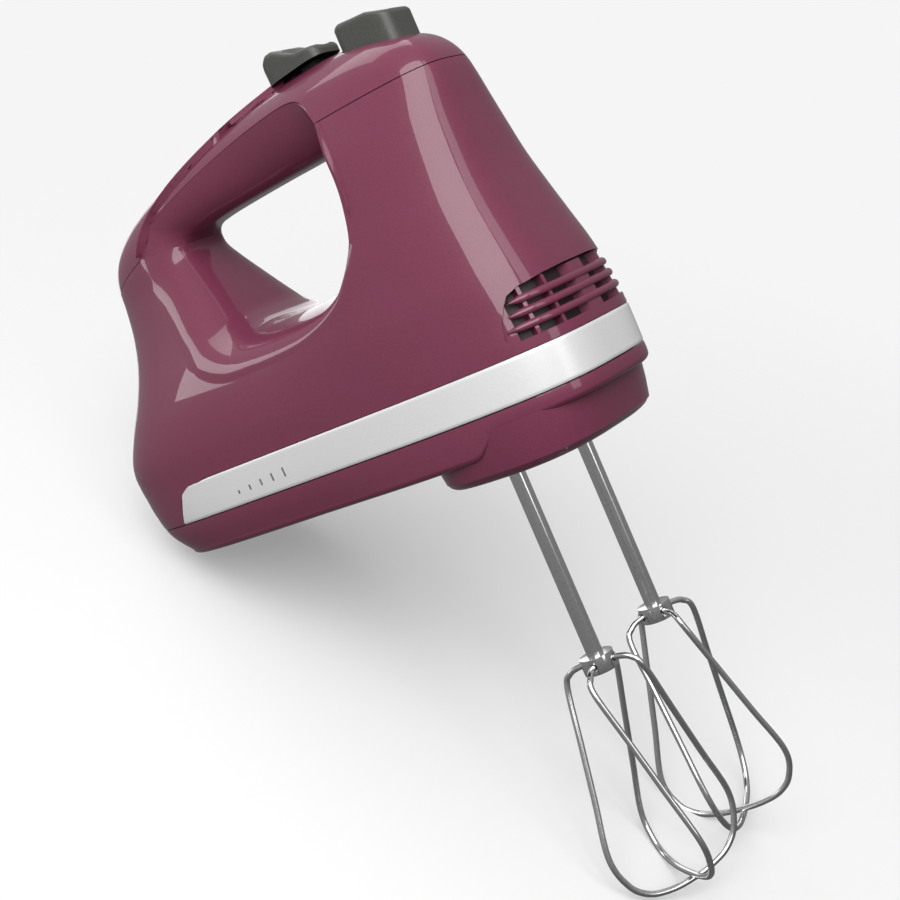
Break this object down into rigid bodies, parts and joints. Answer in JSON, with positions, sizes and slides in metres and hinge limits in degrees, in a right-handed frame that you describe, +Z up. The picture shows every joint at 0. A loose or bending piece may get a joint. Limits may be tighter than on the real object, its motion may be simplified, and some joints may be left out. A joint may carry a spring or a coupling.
{
  "type": "hand mixer",
  "caption": "Electric hand mixer with a plum body, silver trim band, loop handle, speed slider, ejector button and two twisted wire beaters",
  "frame": {"origin": "centre of the flat underside of the chin, midway between the two beater axes", "axes": "+X to the nose, +Y to the left side, +Z up to the handle; the object is symmetric about Y=0"},
  "size_m": [0.2174, 0.0895, 0.3203],
  "materials": {
    "paint": "gloss plum paint with a fine pearl grain on moulded plastic",
    "band_silver": "satin silver with a fine metallic speckle",
    "knob_graphite": "satin graphite moulded plastic",
    "stainless": "polished stainless steel wire and turned parts",
    "zinc_casting": "die-cast zinc, as cast",
    "sintered_bronze": "oil-filled sintered bronze",
    "moulded_black": "black glass-filled nylon",
    "steel": "ground and laminated steel",
    "copper": "enamelled copper",
    "nylon": "natural nylon",
    "board_green": "printed circuit board",
    "capacitor_yellow": "moulded film capacitor"
  },
  "bodies": {
    "housing": {"main_housing": "paint", "top_cover": "paint", "bottom_housing": "paint", "trim_band": "band_silver", "gear_frame": "zinc_casting", "left_lower_bush": "sintered_bronze", "right_lower_bush": "sintered_bronze", "left_upper_bush": "sintered_bronze", "right_upper_bush": "sintered_bronze", "front_bearing": "sintered_bronze", "rear_bearing": "sintered_bronze", "rear_bracket": "moulded_black", "field_stator": "steel", "upper_field_coil": "copper", "lower_field_coil": "copper", "left_brush_holder": "sintered_bronze", "right_brush_holder": "sintered_bronze", "left_brush": "moulded_black", "right_brush": "moulded_black", "left_brush_spring": "steel", "right_brush_spring": "steel", "speed_switch": "moulded_black", "speed_board": "board_green", "capacitor": "capacitor_yellow", "supply_lead": "moulded_black", "return_lead": "nylon", "cord_gland": "moulded_black", "fan_shroud": "moulded_black", "ejector_spring": "steel", "housing_screws": "steel", "cover_screws": "steel", "frame_screws": "steel", "stator_screws": "steel"},
    "armature": {"armature_shaft": "steel", "armature_core": "steel", "armature_winding": "copper", "commutator": "copper", "cooling_fan": "nylon", "worm": "steel"},
    "left_drive": {"left_spindle": "steel", "left_worm_gear": "nylon", "left_retaining_ring": "steel"},
    "right_drive": {"right_spindle": "steel", "right_worm_gear": "nylon", "right_retaining_ring": "steel"},
    "left_beater": {"left_beater_shaft": "stainless", "left_beater_collar": "stainless", "left_loop_a": "stainless", "left_loop_b": "stainless"},
    "right_beater": {"right_beater_shaft": "stainless", "right_beater_collar": "stainless", "right_loop_a": "stainless", "right_loop_b": "stainless"},
    "speed_control": {"speed_slider": "knob_graphite", "slider_carrier": "moulded_black"},
    "ejector": {"ejector_button": "knob_graphite", "ejector_rod": "moulded_black", "ejector_fork": "moulded_black"}
  },
  "joints": [
    {"name": "armature_spin", "type": "hinge", "parent": "housing", "child": "armature", "pos_m": [0, 0, 0.042], "axis": [1, 0, 0], "continuous": true},
    {"name": "left_spindle_spin", "type": "hinge", "parent": "housing", "child": "left_drive", "pos_m": [0, 0.0215, 0], "axis": [0, 0, 1], "continuous": true},
    {"name": "right_spindle_spin", "type": "hinge", "parent": "housing", "child": "right_drive", "pos_m": [0, -0.0215, 0], "axis": [0, 0, 1], "continuous": true},
    {"name": "left_beater_eject", "type": "slide", "parent": "left_drive", "child": "left_beater", "axis": [0, 0, -1], "range_m": [0, 0.006]},
    {"name": "right_beater_eject", "type": "slide", "parent": "right_drive", "child": "right_beater", "axis": [0, 0, -1], "range_m": [0, 0.006]},
    {"name": "ejector_press", "type": "slide", "parent": "housing", "child": "ejector", "axis": [0, 0, -1], "range_m": [0, 0.006], "stiffness_N_per_m": 400, "springref_m": -0.006, "deforming": ["ejector_spring"]},
    {"name": "speed_slide", "type": "slide", "parent": "housing", "child": "speed_control", "axis": [-0.999, 0, -0.0436], "range_m": [0, 0.012]}
  ],
  "couplings": [
    {"joint": "left_spindle_spin", "follows": "armature_spin", "ratio": -0.071429},
    {"joint": "right_spindle_spin", "follows": "armature_spin", "ratio": 0.071429},
    {"joint": "left_beater_eject", "follows": "ejector_press", "ratio": 1},
    {"joint": "right_beater_eject", "follows": "ejector_press", "ratio": 1}
  ]
}
